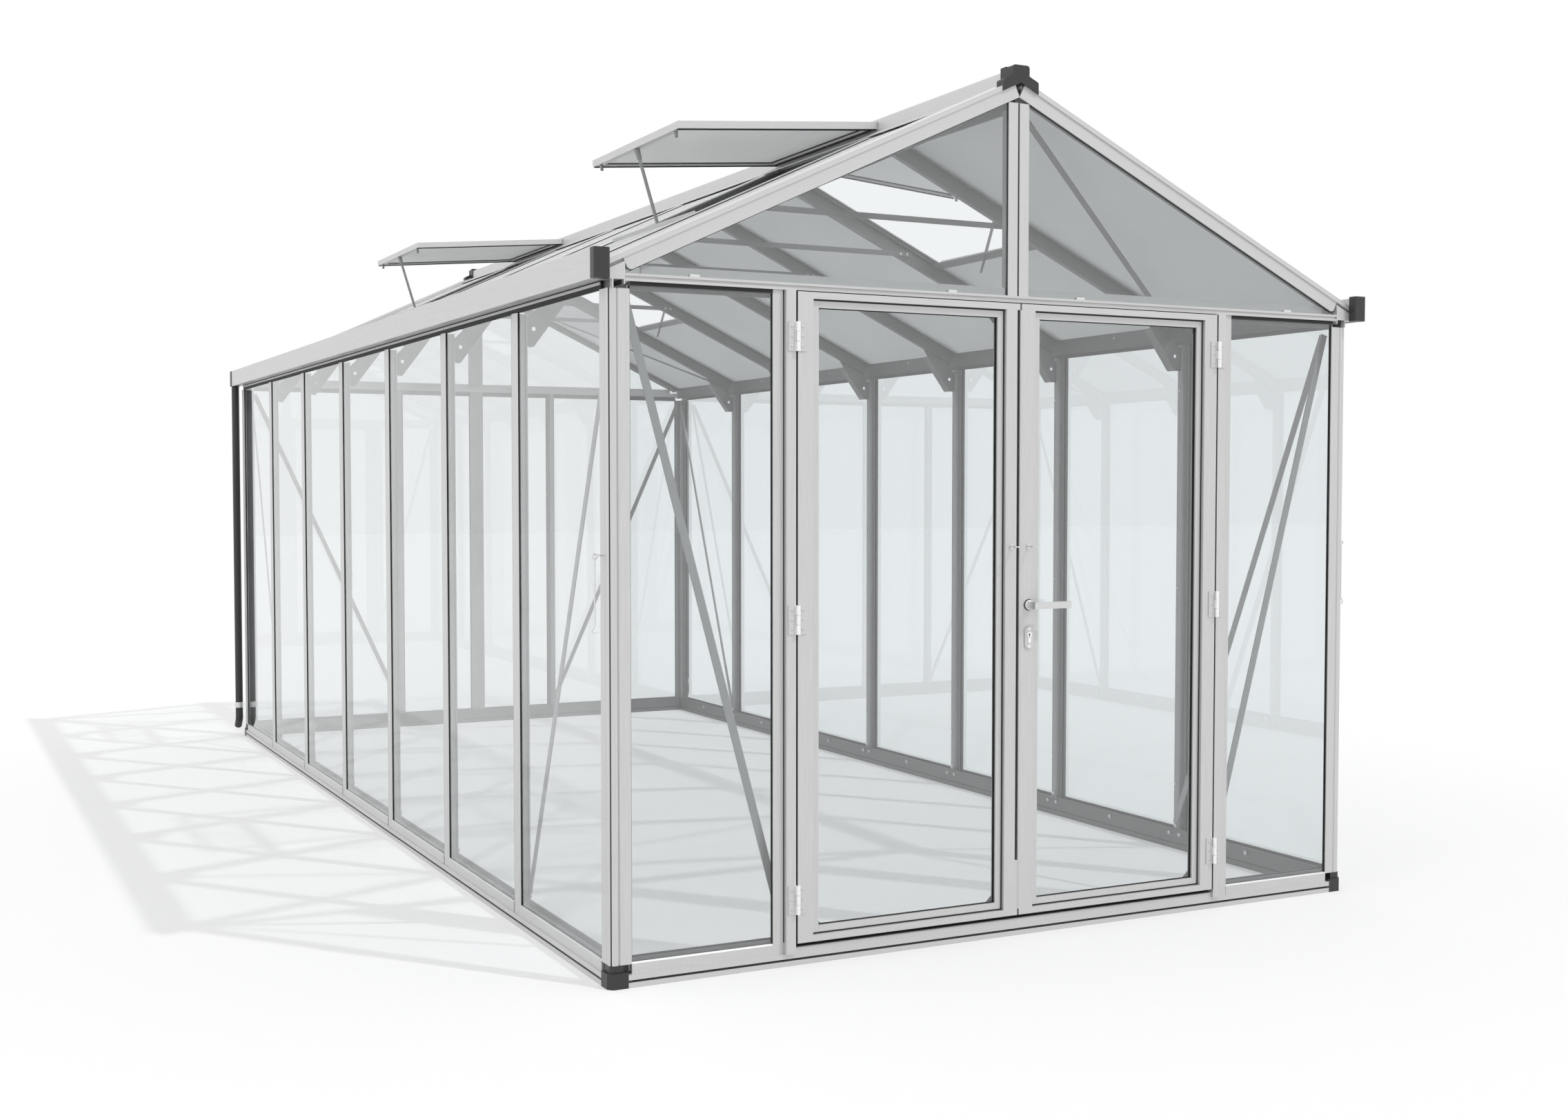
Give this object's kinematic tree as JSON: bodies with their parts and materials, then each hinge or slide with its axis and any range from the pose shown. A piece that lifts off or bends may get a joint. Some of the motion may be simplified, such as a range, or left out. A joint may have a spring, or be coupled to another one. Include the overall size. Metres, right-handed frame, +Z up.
{
  "type": "glass greenhouse",
  "caption": "Aluminium framed greenhouse with glass walls, translucent gable roof, hinged double doors, roof vents, gutters and downpipes.",
  "frame": {"origin": "ground level at the middle of the plan", "axes": "+Z up, -Y towards the gable with the doors, +X to the right as seen from outside that gable"},
  "size_m": [2.7856, 5.7828, 2.669],
  "materials": {
    "satin_aluminium": "satin mill finish",
    "black_plastic": "satin moulded",
    "black_rubber": "matt",
    "clear_glass": "clear float glass",
    "frosted_sheet": "translucent",
    "bright_steel": "bright plated",
    "satin_fittings": "satin"
  },
  "bodies": {
    "house": {"base_rails": "satin_aluminium", "corner_posts": "satin_aluminium", "wall_posts": "satin_aluminium", "wall_channels": "satin_aluminium", "eave_beams": "satin_aluminium", "lintels": "satin_aluminium", "front_jambs": "satin_aluminium", "front_side_stiles": "satin_aluminium", "front_side_channels": "satin_aluminium", "door_sill": "satin_aluminium", "king_posts": "satin_aluminium", "back_wall_posts": "satin_aluminium", "back_wall_channels": "satin_aluminium", "verges": "satin_aluminium", "rafters": "satin_aluminium", "ridge_beam": "satin_aluminium", "vent_sills": "satin_aluminium", "vent_frames": "satin_aluminium", "knee_plates": "satin_aluminium", "collar_ties": "satin_aluminium", "wall_braces": "satin_aluminium", "roof_braces": "satin_aluminium", "base_corner_caps": "black_plastic", "gutter_end_caps": "black_plastic", "downpipes": "black_plastic", "ridge_end_caps": "black_plastic", "wall_head_seals": "black_rubber", "wall_glass": "clear_glass", "front_side_glass": "clear_glass", "back_wall_glass": "clear_glass", "gable_glass": "clear_glass", "roof_sheets": "frosted_sheet", "vent_panes": "frosted_sheet", "jamb_hinges": "bright_steel", "stay_eyes": "bright_steel", "vent_stays": "bright_steel"},
    "left_leaf": {"left_leaf_rails": "satin_aluminium", "left_leaf_stiles": "satin_aluminium", "left_leaf_beads": "satin_aluminium", "left_leaf_glass": "clear_glass", "left_leaf_hinges": "bright_steel", "left_leaf_eye": "bright_steel"},
    "right_leaf": {"right_leaf_rails": "satin_aluminium", "right_leaf_stiles": "satin_aluminium", "right_leaf_beads": "satin_aluminium", "right_leaf_glass": "clear_glass", "right_leaf_hinges": "bright_steel", "right_leaf_eye": "bright_steel", "right_leaf_lock": "satin_fittings"},
    "lever": {"lever": "satin_fittings"},
    "left_stay_hook": {"left_stay_hook": "bright_steel"},
    "right_stay_hook": {"right_stay_hook": "bright_steel"}
  },
  "joints": [
    {"name": "left_door", "type": "hinge", "parent": "house", "child": "left_leaf", "pos_m": [-0.769, -2.838, 1.006], "axis": [0, 0, -1], "range_deg": [0, 175]},
    {"name": "right_door", "type": "hinge", "parent": "house", "child": "right_leaf", "pos_m": [0.769, -2.838, 1.006], "axis": [0, 0, 1], "range_deg": [0, 175]},
    {"name": "lever_turn", "type": "hinge", "parent": "right_leaf", "child": "lever", "pos_m": [0.033, -2.84, 1.026], "axis": [0, 1, 0], "range_deg": [0, 40], "stiffness_Nm_per_rad": 1, "springref_deg": -8.59},
    {"name": "left_hook_swing", "type": "hinge", "parent": "house", "child": "left_stay_hook", "pos_m": [-1.367, -2.777, 1.2], "axis": [0, 1, 0], "range_deg": [0, 90]},
    {"name": "right_hook_swing", "type": "hinge", "parent": "house", "child": "right_stay_hook", "pos_m": [1.367, -2.777, 1.2], "axis": [0, -1, 0], "range_deg": [0, 90]}
  ]
}
